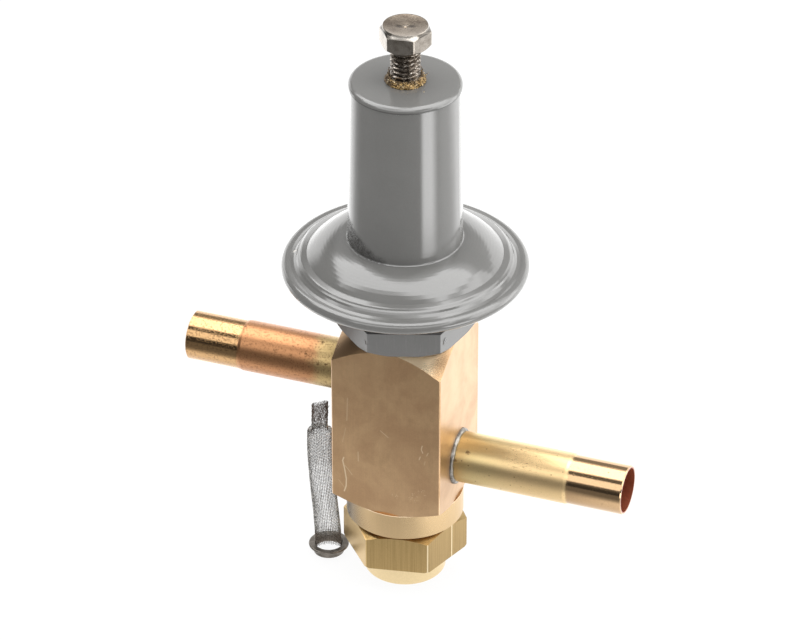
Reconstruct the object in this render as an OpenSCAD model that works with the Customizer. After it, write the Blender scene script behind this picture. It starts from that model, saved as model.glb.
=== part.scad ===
// Crankcase pressure regulator: spring housing, diaphragm, square brass body and two copper stubs.
// The valve's axis is Z, and the cap's round end stands on z = 0.

/* [Body] */
// Width across the flats of the square body
body_w = 36.2; // [35:0.1:40]
// Height of the lower edge of the square, at the middle of a face
body_low = 30.6; // [29:0.1:32]
// Height of the square body, up to the face that the lower housing sits on
body_h = 60.6; // [59:0.1:64]
// Slope of the turned cone that cuts the upper corners
top_cone = 41; // [30:1:50]
// Slope of the turned cone that cuts the lower corners
low_cone = 28; // [20:1:40]
// Chamfer along the upright edges
edge_cut = 0.35; // [0.2:0.05:0.8]
// Diameter of the round collar under the square
collar_d = 37.4; // [36:0.1:40]
// Diameter of the threaded neck on top of the body
neck_d = 30; // [29:0.1:31]
// Height of the threaded neck
neck_h = 11.8; // [10:0.1:13]
// Diameter of the inlet chamber
inlet_room_d = 24; // [23:0.5:26]
// Diameter of the outlet chamber
outlet_room_d = 23; // [21:0.5:25]
// Height of the wall between the chambers
wall_low = 56; // [55.5:0.1:57]
// Thickness of the wall between the chambers
wall_t = 5; // [4:0.1:6]

/* [Stubs] */
// Height of the axis of the inlet stub
inlet_z = 45.8; // [45:0.1:46.5]
// Height of the axis of the outlet stub
outlet_z = 71.6; // [71:0.1:73]
// Outside diameter of a stub
stub_d = 16.3; // [15:0.1:17]
// Outside diameter of the sized end of a stub
stub_end_d = 15.9; // [14.8:0.1:16.2]
// Wall of a stub
stub_wall = 0.9; // [0.7:0.05:1.2]
// Reach of the inlet stub from the valve's axis
inlet_reach = 74.1; // [60:0.1:90]
// Reach of the outlet stub from the valve's axis
outlet_reach = 71.6; // [60:0.1:90]
// Length of the sized end of the inlet stub
inlet_end_l = 19; // [12:0.1:25]
// Length of the sized end of the outlet stub
outlet_end_l = 18.6; // [12:0.1:25]
// Depth of the socket that holds a stub
socket_depth = 4.5; // [3:0.1:5]
// Height of the braze fillet on the body's face
braze_h = 1.1; // [0.8:0.1:2.5]

/* [Lower housing] */
// Width across the flats of the housing's hex
hex_af = 39.2; // [38:0.1:42]
// Turn of the housing's hex about the axis
hex_turn = 18.6; // [0:0.2:59]
// Height of the small step under the hex
step_h = 0.8; // [0.5:0.1:1.2]
// Height from the body to the rim of the housing's plate
housing_h = 22.3; // [21.5:0.1:24]
// Thickness of the rim that the bonnet is closed over
rim_t = 0.8; // [0.6:0.1:1]
// Radius of that rim
rim_r = 36.9; // [36:0.1:38]
// Radius of the chamber under the diaphragm
chamber_r = 26; // [25:0.1:28]
// Depth of the chamber under the diaphragm
chamber_h = 6.4; // [6:0.1:6.8]
// Thickness of the gasket under the diaphragm
gasket_t = 0.4; // [0.3:0.05:0.8]
// Thickness of the diaphragm
diaphragm_t = 0.3; // [0.2:0.05:0.5]

/* [Bonnet] */
// Height of the bonnet over its clamping face
bonnet_h = 65.1; // [60:0.1:75]
// Radius of the barrel just under the top rim
barrel_top_r = 17.1; // [16.6:0.1:17.6]
// Radius of the barrel at its root
barrel_root_r = 17.9; // [17.4:0.1:18.5]
// Radius of the spring's room
barrel_bore_r = 14; // [13.6:0.1:14.4]
// Radius of the rolled top rim
top_rim_r = 17.4; // [17.2:0.1:18]
// Thickness of the rolled top rim
top_rim_t = 2.1; // [1.6:0.1:2.6]
// Thickness of the top wall
top_wall = 7.8; // [6:0.1:9]
// Radius of the dome's foot
dome_r = 30.5; // [30:0.1:31]
// Rise of the dome's foot over the clamping face
dome_foot = 3.9; // [3.7:0.1:4.4]
// Rise of the dome at the barrel's root over its foot
dome_rise = 5.7; // [5:0.1:6.4]
// Radius at which the flat ring round the dome steps down
step_r = 33.2; // [32.5:0.1:33.8]
// Radius of the rolled edge bead
bead_r = 2; // [1.8:0.05:2.2]

/* [Adjusting screw] */
// Diameter of the screw
screw_d = 9.4; // [8.5:0.05:9.6]
// Width across the flats of the head
head_af = 14.2; // [13:0.1:16]
// Height of the head
head_h = 6.7; // [5:0.1:8]
// Height of the top of the head over the bonnet's top
head_over = 19.1; // [18.6:0.1:24]
// Length of the screw without its head
shank_l = 34.6; // [33:0.1:36]
// Length of the smooth neck under the head
smooth_l = 1.6; // [1:0.1:2.5]
// Turn of the head's hex about the axis
head_turn = 8; // [0:1:59]
// Outside radius of the bush's ring on top
bush_r = 6; // [5.6:0.1:6.6]
// Rise of the bush over the bonnet's top
bush_rise = 3.4; // [2.5:0.1:3.8]
// Length of the bush inside the bonnet
bush_inside = 6.5; // [5:0.1:7]
// Diameter of the thrust ball
ball_d = 6; // [5:0.1:6.5]

/* [Springs and seats] */
// Wire of the range spring
range_wire = 3; // [2.6:0.1:3.1]
// Mean radius of the range spring
range_r = 11; // [10.8:0.1:11.1]
// Turns of the range spring
range_turns = 6.5; // [5:0.5:7]
// Length of the range spring as it stands
range_l = 34; // [32:0.1:34.5]
// Thickness of the buffer plate
buffer_t = 2.4; // [2:0.1:3]
// Radius of the buffer plate
buffer_r = 21; // [20:0.1:22]
// Thickness of the upper spring seat
seat_t = 3; // [2.5:0.1:3.2]
// Wire of the closing spring
closing_wire = 1.2; // [1:0.1:1.4]
// Mean radius of the closing spring
closing_r = 6.2; // [6:0.1:6.6]
// Turns of the closing spring
closing_turns = 8; // [6:0.5:9]

/* [Valve] */
// Travel of the plug from open to shut
stroke = 1.8; // [1.5:0.1:2]
// Gap that is left between the disc and the seat when shut
shut_gap = 0.05; // [0.02:0.01:0.1]
// Bore radius of the seat ring
seat_bore = 6.2; // [5.6:0.1:6.4]
// Outside radius of the seat ring
seat_ring_r = 8.5; // [8:0.1:9]
// Radius of the push rod
rod_r = 2; // [1.8:0.1:2.2]
// Clearance round the rod in its guide
rod_play = 0.05; // [0.03:0.01:0.08]
// Radius of the plug
plug_r = 9.2; // [8.8:0.1:9.6]
// Thickness of the plug's disc holder
plug_h = 4.6; // [4.2:0.1:5]
// Thickness of the thrust plate
thrust_t = 2.6; // [2.2:0.1:3]
// Radius of the thrust plate
thrust_r = 20; // [19:0.1:21]

/* [Bottom cap] */
// Width across the flats of the cap
cap_af = 34.6; // [33:0.1:36]
// Turn of the cap's hex about the axis
cap_turn = 11; // [0:1:59]
// Height of the round end boss
boss_h = 8.7; // [7:0.1:10]
// Radius of the round end boss
boss_r = 13.1; // [12.5:0.1:14]
// Height of the cap's hex
cap_hex_h = 12.2; // [11.5:0.1:13]
// Thickness of the cap's gasket
cap_gasket_t = 0.9; // [0.6:0.1:1.2]
// Radius of the cap's threaded spigot
spigot_r = 12.9; // [12.7:0.05:13]
// Length of the cap's threaded spigot
spigot_l = 12; // [11:0.1:13]

/* [Strainer] */
// Height of the strainer as it stands
strainer_h = 59.3; // [50:0.1:62]
// Radius of the ring's brim
brim_r = 6.5; // [6:0.1:7]
// Thickness of the brim
brim_t = 0.8; // [0.6:0.1:1.2]
// Radius of the ring's open mouth
mouth_r = 4.55; // [4.4:0.05:4.8]
// Wall of the ring's sleeve
sleeve_wall = 0.4; // [0.3:0.05:0.6]
// Height of the sleeve, up to the top of the brim
sleeve_h = 3; // [2:0.1:4]
// Radius of the mesh sock
sock_r = 4.15; // [3.9:0.05:4.3]
// Half the width of the sock's crimped end
crimp_r = 2.6; // [2.2:0.1:3.2]
// Height of the woven ridges
weave_h = 0.12; // [0.06:0.01:0.2]

/* [Hidden] */
$fn = 96;
// Small clearance of a piece in its socket
fit = 0.05;
// Height of the seat's lip
seat_lip = 0.8;
// Thickness of the soft disc
seal_t = 1.8;
// The rod's guide: radius of its tube and of its flange, and the flange's thickness
guide_r = 6;
guide_flange_r = 7.2;
guide_flange_t = 2;
// Radius of the recess in the neck's top, and the height of its floor over the body's face
recess_r = 11;
recess_rise = 3.8;
// Radius of the ring of vents beside the guide, and of one vent
vent_at_r = 8.6;
vent_r = 1.1;
// Hubs on the plates: under the thrust plate, on the buffer plate, and under the upper seat
thrust_hub_r = 4.2;
thrust_hub_l = 3.4;
buffer_hub_l = 3.2;
seat_hub_l = 3.5;
// Nose of the plug inside the closing spring
nose_l = 4;
// The bead's centre lies a little inside the edge of the rim that it holds
bead_inset = 0.3;
bead_at_r = rim_r - bead_inset;
// Depth of the head's dish
dish = 0.9;
// Height that the collar runs up into the cone of the lower corners
collar_run = 0.3;
// Metal under the chamber's floor, down to the round of the lower housing's bell
bell_floor = 0.6;
// Heights that follow from the sizes above, from the floor up
cap_top = boss_h + cap_hex_h;
collar_low = cap_top + cap_gasket_t;
pocket_low = cap_top - 1;
pocket_r = closing_r + closing_wire / 2 + 1;
body_top = body_low + body_h;
housing_low = body_top + step_h;
rim_low = body_top + housing_h - rim_t;
gasket_low = rim_low + rim_t;
diaphragm_low = gasket_low + gasket_t;
clamp_z = diaphragm_low + diaphragm_t;
bonnet_top = clamp_z + bonnet_h;
buffer_top = clamp_z + buffer_t;
spring_top = buffer_top + range_l;
seat_top = spring_top + seat_t;
dimple = ball_d / 4;
ball_z = seat_top - dimple + ball_d / 2;
head_top = bonnet_top + head_over;
head_low = head_top - head_h;
screw_tip = head_low - shank_l;
seal_top = wall_low - seat_lip - stroke - shut_gap;
plug_low = seal_top - plug_h;
thrust_top = diaphragm_low;
thrust_low = thrust_top - thrust_t;
bush_low = bonnet_top - top_wall - bush_inside;
guide_low = outlet_z + stub_d / 2 + 4.2;
recess_low = body_top + recess_rise;
// Radii of the two chamfer cones at the middle of a face
flat_r = body_w / 2;
corner_r = flat_r * sqrt(2);
brass = "goldenrod";

function arc(cx, cy, r, a0, a1, n) =
  [for (i = [0 : n]) let (a = a0 + (a1 - a0) * i / n) [cx + r * cos(a), cy + r * sin(a)]];

// A tube swept through rings of points, closed at both ends
module skin(rings) {
  sides = len(rings[0]);
  last = len(rings) - 1;
  points = [for (ring = rings) each ring];
  walls = [for (i = [0 : last - 1], j = [0 : sides - 1])
    let (k = (j + 1) % sides, a = i * sides, b = a + sides)
      each [[a + j, b + j, b + k], [a + j, b + k, a + k]]];
  ends = [[for (j = [0 : sides - 1]) j], [for (j = [sides - 1 : -1 : 0]) last * sides + j]];
  polyhedron(points, concat(walls, ends), convexity = 10);
}

// Wire that climbs from its first turn to its last, with closed ends ground flat
module coil_spring(mean_r, wire, low, high, turns, sides, steps) {
  wire_r = wire / 2;
  rise = high - low - wire;
  count = ceil(turns * steps);
  closed = wire * 1.02;
  function height(t) = let (pitch = (rise - 2 * closed) / (turns - 2))
    t < 1 ? closed * t : t > turns - 1 ? rise - closed * (turns - t) : closed + pitch * (t - 1);
  rings = [for (i = [0 : count]) let (t = turns * i / count, a = 360 * t)
    [for (j = [0 : sides - 1]) let (s = 360 * j / sides, r = mean_r + wire_r * cos(s))
      [r * cos(a), r * sin(a), low + wire_r + height(t) + wire_r * sin(s)]]];
  intersection() {
    skin(rings);
    translate([0, 0, low + wire * 0.12]) cylinder(r = mean_r + wire, h = high - low - wire * 0.24);
  }
}

module hex(af, h) {
  cylinder(r = af / 2 / cos(30), h = h, $fn = 6);
}

// The square body: turned cones cut its corners, and a collar and a neck run out of it
module body_shell() {
  top_drop = (corner_r - flat_r) * tan(top_cone);
  low_drop = (corner_r - flat_r) * tan(low_cone);
  collar_top = body_low + collar_run;
  c = edge_cut;
  intersection() {
    translate([0, 0, body_low]) linear_extrude(body_h)
      polygon([[-flat_r + c, -flat_r], [flat_r - c, -flat_r], [flat_r, -flat_r + c], [flat_r, flat_r - c],
        [flat_r - c, flat_r], [-flat_r + c, flat_r], [-flat_r, flat_r - c], [-flat_r, -flat_r + c]]);
    rotate_extrude() polygon([[0, body_low], [flat_r - 0.1, body_low], [corner_r, body_low + low_drop],
      [corner_r, body_top - top_drop], [flat_r - 0.1, body_top], [0, body_top]]);
  }
  rotate_extrude() polygon([[0, collar_low], [collar_d / 2 - 0.5, collar_low],
    [collar_d / 2, collar_low + 0.5], [collar_d / 2, collar_top], [0, collar_top]]);
  translate([0, 0, body_top - 1]) cylinder(d = neck_d, h = neck_h + 1);
}

module stub_socket(z, side) {
  translate([0, 0, z]) rotate([0, side * 90, 0]) {
    translate([0, 0, flat_r - socket_depth]) cylinder(d = stub_d + 2 * fit, h = socket_depth + 1);
    cylinder(d = stub_d - 2 * stub_wall, h = flat_r);
  }
}

module body() {
  color(brass) difference() {
    body_shell();
    translate([0, 0, collar_low - 1]) cylinder(r = spigot_r + 0.1, h = spigot_l + 2.2);
    translate([0, 0, collar_low]) cylinder(d = inlet_room_d, h = wall_low - collar_low);
    translate([0, 0, wall_low - 1]) cylinder(r = seat_ring_r + fit, h = wall_t + 2);
    translate([0, 0, wall_low + wall_t]) cylinder(d = outlet_room_d, h = guide_low - wall_low - wall_t);
    translate([0, 0, guide_low - 1]) cylinder(r = guide_r + fit, h = recess_low - guide_low + 2);
    translate([0, 0, recess_low]) cylinder(r = recess_r, h = neck_h);
    for (a = [0 : 120 : 359]) rotate([0, 0, a + 30]) translate([vent_at_r, 0, guide_low - 1])
      cylinder(r = vent_r, h = recess_low - guide_low + 2);
    stub_socket(inlet_z, 1);
    stub_socket(outlet_z, -1);
  }
}

// Hex cap with a round end, a spigot for the thread and a pocket for the closing spring
module bottom_cap() {
  hex_r = cap_af / 2 / cos(30);
  color("darkkhaki") difference() {
    union() {
      intersection() {
        rotate([0, 0, cap_turn]) translate([0, 0, boss_h]) hex(cap_af, cap_hex_h);
        rotate_extrude() polygon([[0, boss_h], [hex_r - 0.5, boss_h], [hex_r + 0.1, boss_h + 0.6],
          [hex_r + 0.1, cap_top - 1.4], [cap_af / 2 + 0.1, cap_top], [0, cap_top]]);
      }
      rotate_extrude() polygon(concat([[0, 0]], arc(boss_r - 0.8, 0.8, 0.8, -90, 0, 4),
        [[boss_r, boss_h + 1], [0, boss_h + 1]]));
      translate([0, 0, cap_top - 1]) cylinder(r = spigot_r, h = spigot_l + 1);
    }
    translate([0, 0, pocket_low]) cylinder(r = pocket_r, h = 60);
  }
}

module cap_gasket() {
  color("sienna") translate([0, 0, cap_top]) difference() {
    cylinder(r = cap_af / 2 - 0.8, h = cap_gasket_t);
    translate([0, 0, -1]) cylinder(r = spigot_r + 0.2, h = cap_gasket_t + 2);
  }
}

// Copper stub along +X: a brazed end, a long barrel and a slightly smaller sized end
module stub(reach, end_l) {
  outer = stub_d / 2;
  sized = stub_end_d / 2;
  start = flat_r - socket_depth;
  swage = reach - end_l;
  rotate([0, 90, 0]) rotate_extrude() polygon([[outer - stub_wall, start], [outer, start], [outer, swage],
    [sized, swage + 0.9], [sized, reach - 0.3], [sized - 0.3, reach],
    [sized - stub_wall, reach], [sized - stub_wall, swage + 0.9], [outer - stub_wall, swage]]);
}

module inlet_tube() {
  color("peru") translate([0, 0, inlet_z]) stub(inlet_reach, inlet_end_l);
}

module outlet_tube() {
  color("peru") translate([0, 0, outlet_z]) rotate([0, 0, 180]) stub(outlet_reach, outlet_end_l);
}

// Concave fillet of braze metal in the corner of stub and body
module braze_ring() {
  r = stub_d / 2 + 0.02;
  rotate([0, 90, 0]) rotate_extrude() polygon(concat([[r, flat_r]],
    arc(r + braze_h + 0.2, flat_r + braze_h + 0.2, braze_h, -90, -180, 6), [[r, flat_r + braze_h + 0.2]]));
}

module inlet_braze_ring() {
  color("silver") translate([0, 0, inlet_z]) braze_ring();
}

module outlet_braze_ring() {
  color("silver") translate([0, 0, outlet_z]) rotate([0, 0, 180]) braze_ring();
}

module seat_ring() {
  lip = wall_low - seat_lip;
  color("silver") rotate_extrude() polygon([[seat_bore, lip], [seat_bore + 0.5, lip],
    [seat_bore + 1.3, wall_low], [seat_ring_r, wall_low], [seat_ring_r, wall_low + wall_t],
      [seat_bore, wall_low + wall_t]]);
}

module stem_guide() {
  foot = guide_low + 0.2;
  color(brass) difference() {
    union() {
      translate([0, 0, foot]) cylinder(r = guide_r, h = recess_low - foot + 1);
      translate([0, 0, recess_low]) cylinder(r = guide_flange_r, h = guide_flange_t);
    }
    translate([0, 0, foot - 1]) cylinder(r = rod_r + rod_play, h = recess_low + guide_flange_t - foot + 2);
  }
}

module housing_gasket() {
  color("dimgray") translate([0, 0, body_top]) difference() {
    cylinder(r = flat_r - 0.5, h = step_h);
    translate([0, 0, -1]) cylinder(r = neck_d / 2 + 0.2, h = step_h + 2);
  }
}

// Hex at the bottom, a cone that widens over it, and the plate that carries the diaphragm
module lower_housing() {
  hex_r = hex_af / 2 / cos(30);
  plate_low = rim_low - 2.2;
  bell_r = chamber_r + 3;
  bell_round = bell_r - hex_af / 2 + 1;
  bell_low = gasket_low - chamber_h - bell_floor - bell_round;
  bead_in = bead_at_r - bead_r - 0.4;
  color("slategray") difference() {
    union() {
      intersection() {
        rotate([0, 0, hex_turn]) translate([0, 0, housing_low]) hex(hex_af, bell_low + 4 - housing_low);
        rotate_extrude() polygon([[0, housing_low], [hex_af / 2 + 0.6, housing_low],
          [hex_r + 0.1, housing_low + 1.5], [hex_r + 0.1, bell_low + 4], [0, bell_low + 4]]);
      }
      rotate_extrude() polygon(concat([[0, bell_low]], arc(bell_r, bell_low, bell_round, 180, 90, 6),
        [[bell_r, plate_low], [bead_in, plate_low], [bead_in, rim_low], [rim_r, rim_low],
          [rim_r, gasket_low], [0, gasket_low]]));
    }
    translate([0, 0, housing_low - 1]) cylinder(r = neck_d / 2 + 0.1, h = neck_h + 0.4);
    translate([0, 0, housing_low]) cylinder(r = neck_d / 2 - 1.5, h = housing_h - step_h - chamber_h + 1);
    translate([0, 0, gasket_low - chamber_h]) cylinder(r = chamber_r, h = chamber_h + 1);
  }
}

module diaphragm_gasket() {
  color("dimgray") translate([0, 0, gasket_low]) difference() {
    cylinder(r = rim_r - 0.2, h = gasket_t);
    translate([0, 0, -1]) cylinder(r = chamber_r, h = gasket_t + 2);
  }
}

// Thin sheet with rings pressed into it round its flat middle
module diaphragm() {
  t = diaphragm_t;
  inner = max(buffer_r, thrust_r) + 0.3;
  outer = chamber_r - 0.4;
  wave = [for (i = [0 : 24]) let (u = i / 24) [inner + (outer - inner) * u, 0.55 * (cos(1080 * u) - 1) / 2]];
  color("lightsteelblue") rotate_extrude() polygon(concat([[0, diaphragm_low]],
    [for (p = wave) [p[0], diaphragm_low + p[1]]], [[rim_r - 0.2, diaphragm_low], [rim_r - 0.2, clamp_z]],
    [for (i = [24 : -1 : 0]) [wave[i][0], clamp_z + wave[i][1]]], [[0, clamp_z]]));
}

// Outer wall of the bonnet from the foot of the dome up, with its rounded top rim
function bonnet_outside() = let (
    foot_z = clamp_z + dome_foot,
    root_z = foot_z + dome_rise,
    fillet = 0.5,
    rim_round = 1.4,
    run = dome_r - barrel_root_r - fillet,
    bulge = [for (i = [0 : 12]) let (u = i / 12)
      [dome_r - run * u, foot_z + dome_rise * (0.85 * (1 - pow(1 - u, 2.4)) + 0.15 * u)]])
  concat(bulge,
    arc(barrel_root_r + fillet, root_z + fillet + 0.05, fillet, -90, -180, 4),
    [[barrel_top_r, bonnet_top - top_rim_t - 0.2], [top_rim_r, bonnet_top - top_rim_t]],
    arc(top_rim_r - rim_round, bonnet_top - rim_round, rim_round, 0, 90, 6),
    [[0, bonnet_top]]);

// Turned land inside the bead, slope up to a rounded edge, and the flat ring round the dome
function flange_steps() = let (land_r = bead_at_r - bead_r, edge_z = clamp_z + dome_foot - 1)
  [[land_r + 1, clamp_z + 1.25], [land_r, clamp_z + 1.5], [step_r + 0.6, edge_z - 0.75],
    [step_r + 0.2, edge_z - 0.2], [step_r - 0.3, edge_z + 0.15], [step_r - 0.7, edge_z + 0.5],
    [step_r - 1.1, edge_z + 0.65], [dome_r + 0.3, clamp_z + dome_foot - 0.05]];

// The spring housing: rolled bead at its edge, stepped flange, dome, barrel and rim, in one shell
module bonnet() {
  lip_low = rim_low - bead_r * 0.55;
  bead_z = lip_low + bead_r;
  foot_in = clamp_z + dome_foot - 1.9;
  root_in = clamp_z + dome_foot + dome_rise - 3;
  inside_top = bonnet_top - top_wall;
  color("darkgray") difference() {
    rotate_extrude() polygon(concat(
      [[0, lip_low], [bead_at_r, lip_low]],
      arc(bead_at_r, bead_z, bead_r, -85, 95, 16),
      flange_steps(), bonnet_outside()));
    rotate_extrude() polygon([[0, lip_low - 1], [bead_at_r - bead_r, lip_low - 1],
      [bead_at_r - bead_r, rim_low], [rim_r + 0.05, rim_low], [rim_r + 0.05, clamp_z],
        [chamber_r + 4, clamp_z], [chamber_r + 3, foot_in],
      [barrel_bore_r + 3, root_in], [barrel_bore_r, root_in + 1.5], [barrel_bore_r, inside_top - 1],
      [barrel_bore_r - 1, inside_top], [0, inside_top]]);
    translate([0, 0, inside_top - 1]) cylinder(r = bush_r + fit, h = top_wall + 2);
  }
}

// Threaded bush, let into the bonnet's top from below and standing out of it as a ring
module screw_bush() {
  color(brass) difference() {
    union() {
      translate([0, 0, bush_low]) cylinder(r = bush_r, h = bush_inside + top_wall + bush_rise - 0.6);
      translate([0, 0, bush_low]) cylinder(r = bush_r + 3.2, h = bush_inside);
      translate([0, 0, bonnet_top + bush_rise - 0.6]) cylinder(r1 = bush_r, r2 = bush_r - 0.9, h = 0.6);
    }
    translate([0, 0, bush_low - 1]) cylinder(d = screw_d + 0.1, h = bonnet_top + bush_rise - bush_low + 2);
  }
}

module push_rod() {
  color("silver") translate([0, 0, plug_low + 0.6]) cylinder(r = rod_r, h = thrust_low - plug_low - 0.6);
}

// Plate on the rod that carries the diaphragm's middle from below
module thrust_plate() {
  color("silver") difference() {
    union() {
      rotate_extrude() polygon([[0, thrust_low], [thrust_r - 1.5, thrust_low], [thrust_r, thrust_low + 1.2],
        [thrust_r, thrust_top - 0.3], [thrust_r - 0.3, thrust_top], [0, thrust_top]]);
      translate([0, 0, thrust_low - thrust_hub_l]) cylinder(r = thrust_hub_r, h = thrust_hub_l + 0.5);
    }
    translate([0, 0, thrust_low - thrust_hub_l - 1]) cylinder(r = rod_r + 0.02, h = thrust_hub_l + 1);
  }
}

// Lower seat of the range spring, on the diaphragm
module buffer_plate() {
  hub = range_r - range_wire / 2 - 0.4;
  color("silver") rotate_extrude() polygon(concat(
    [[0, clamp_z], [buffer_r - 1.2, clamp_z]], arc(buffer_r - 1.2, clamp_z + 1.2, 1.2, -90, 0, 4),
    [[buffer_r, buffer_top - 0.5], [buffer_r - 0.5, buffer_top], [hub, buffer_top],
      [hub - 0.6, buffer_top + buffer_hub_l], [hub - 2, buffer_top + buffer_hub_l],
      [hub - 2, buffer_top - 0.8], [0, buffer_top - 0.8]]));
}

// Disc holder under the seat, open at the top for the soft disc
module valve_plug() {
  nose = closing_r - closing_wire / 2 - 0.3;
  color(brass) difference() {
    rotate_extrude() polygon([[0, plug_low - nose_l], [nose - 0.6, plug_low - nose_l],
      [nose, plug_low - nose_l + 0.6], [nose, plug_low], [plug_r - 0.4, plug_low], [plug_r, plug_low + 0.4],
      [plug_r, seal_top - 0.5], [plug_r - 0.5, seal_top - 0.1], [0, seal_top - 0.1]]);
    translate([0, 0, seal_top - seal_t]) cylinder(r = plug_r - 0.9, h = seal_t + 1);
    translate([0, 0, plug_low + 0.6]) cylinder(r = rod_r + 0.02, h = plug_h);
  }
}

module seal_disc() {
  color("dimgray") translate([0, 0, seal_top - seal_t]) difference() {
    cylinder(r = plug_r - 1, h = seal_t);
    translate([0, 0, -1]) cylinder(r = rod_r + 0.02, h = seal_t + 2);
  }
}

module seal_nut() {
  color(brass) translate([0, 0, seal_top]) difference() {
    hex(seat_bore * 1.4, 2.6);
    translate([0, 0, -1]) cylinder(r = rod_r + 0.02, h = 5);
  }
}

module closing_spring() {
  color("silver") coil_spring(closing_r, closing_wire, pocket_low - closing_wire * 0.12,
    plug_low + closing_wire * 0.12, closing_turns, 6, 18);
}

module range_spring() {
  color("silver") coil_spring(range_r, range_wire, buffer_top - range_wire * 0.12,
    spring_top + range_wire * 0.12, range_turns, 8, 22);
}

// Button that carries the top of the range spring, with a dimple for the ball
module upper_spring_seat() {
  hub = range_r - range_wire / 2 - 0.4;
  rim = barrel_bore_r - 0.5;
  color("silver") difference() {
    rotate_extrude() polygon([[0, spring_top - seat_hub_l], [hub - 0.8, spring_top - seat_hub_l],
      [hub, spring_top - seat_hub_l + 1], [hub, spring_top], [rim, spring_top],
      [rim, spring_top + 1.6], [rim - 1.6, seat_top], [0, seat_top]]);
    translate([0, 0, ball_z]) sphere(d = ball_d + 2 * fit);
  }
}

module thrust_ball() {
  color("silver") translate([0, 0, ball_z]) sphere(d = ball_d);
}

// Hex head with a dished top, a smooth neck, the thread's outer cylinder and a dimpled tip
module adjusting_screw() {
  hex_r = head_af / 2 / cos(30);
  color("rosybrown") difference() {
    union() {
      intersection() {
        rotate([0, 0, head_turn]) translate([0, 0, head_low]) hex(head_af, head_h);
        rotate_extrude() polygon([[0, head_low], [head_af / 2 - 0.1, head_low], [hex_r + 0.1, head_low + 1],
          [hex_r + 0.1, head_top - 1.9], [head_af / 2, head_top - 0.8], [head_af / 2 - 0.3, head_top],
          [0, head_top]]);
      }
      rotate_extrude() polygon([[0, screw_tip], [screw_d / 2 - 1.2, screw_tip],
        [screw_d / 2, screw_tip + 1.2], [screw_d / 2, head_low - smooth_l],
        [screw_d / 2 - 0.35, head_low - smooth_l + 0.35], [screw_d / 2 - 0.35, head_low + 1],
          [0, head_low + 1]]);
    }
    rotate_extrude() polygon([[0, head_top - dish], [0.9, head_top - dish * 0.7],
      [2.1, head_top - dish * 0.5], [head_af / 2 - 0.6, head_top + 0.01], [0, head_top + 0.01]]);
    translate([0, 0, ball_z]) sphere(d = ball_d + 2 * fit);
  }
}

// The strainer stands on the floor beside the body, under the outlet stub
strainer_x = -25.5;
strainer_y = -2;
// Direction across the crimped end, which is also the one that the soft sock leans along
crimp_turn = 20;
// Lean of the sock's middle line, at even steps from its mouth to its crimped end
sock_lean = [0, 0.3, 1, 1.7, 2.4, 2.6, 2.6, 2.4];
sock_low = 0.4;
// Share of its length at which the sock is pinched
pinch_from = 0.78;

// One ring of the sock at share u of its length: round at first, pinched flat in the crimp
function sock_ring(u, inset, weave, row) = let (
    last = len(sock_lean) - 1,
    i = min(last - 1, floor(u * last)),
    f = u * last - i,
    lean = sock_lean[i] * (1 - f) + sock_lean[i + 1] * f,
    foot_r = mouth_r - weave_h - fit,
    round_r = foot_r + (sock_r - foot_r) * min(1, u / 0.3) - inset,
    pinch = max(0, min(1, (u - pinch_from) / 0.05)),
    ease = pinch * pinch * (3 - 2 * pinch),
    wide = round_r * (1 - ease) + crimp_r * ease,
    tall = round_r * (1 - ease) + crimp_r / 2 * ease)
  [for (j = [0 : 23]) let (a = 15 * j, b = weave * ((j + row) % 2),
      across = (wide + b) * cos(a) - lean, deep = (tall + b) * sin(a))
    [strainer_x + across * cos(crimp_turn) + deep * sin(crimp_turn),
      strainer_y + across * sin(crimp_turn) - deep * cos(crimp_turn),
      sock_low + (strainer_h - sock_low) * u]];

// Ferrule of the strainer: a short sleeve with a thin rounded brim at its top
module strainer_ring() {
  sleeve_r = mouth_r + sleeve_wall;
  color("gray") translate([strainer_x, strainer_y, 0]) rotate_extrude() polygon(concat(
    [[mouth_r, 0], [sleeve_r, 0], [sleeve_r, sleeve_h - brim_t]],
    arc(brim_r - brim_t / 2, sleeve_h - brim_t / 2, brim_t / 2, -90, 90, 6), [[mouth_r, sleeve_h]]));
}

// Woven sock: its skin steps in and out from wire to wire, and it is open at the mouth
module strainer_sock() {
  rows = 60;
  wall = 0.2;
  color("dimgray") skin(concat(
    [for (u = [0.76 : -0.095 : 0]) sock_ring(u, wall, 0, 0)],
    [for (i = [0 : rows]) sock_ring(i / rows, 0, i > 0 && i < rows ? weave_h : 0, i)]));
}

body();
bottom_cap();
cap_gasket();
inlet_tube();
outlet_tube();
inlet_braze_ring();
outlet_braze_ring();
seat_ring();
stem_guide();
housing_gasket();
lower_housing();
diaphragm_gasket();
diaphragm();
bonnet();
screw_bush();
push_rod();
thrust_plate();
buffer_plate();
valve_plug();
seal_disc();
seal_nut();
closing_spring();
range_spring();
upper_spring_seat();
thrust_ball();
adjusting_screw();
strainer_ring();
strainer_sock();
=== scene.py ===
import math
import random

import bpy
from mathutils import Matrix, Vector, noise


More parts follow.
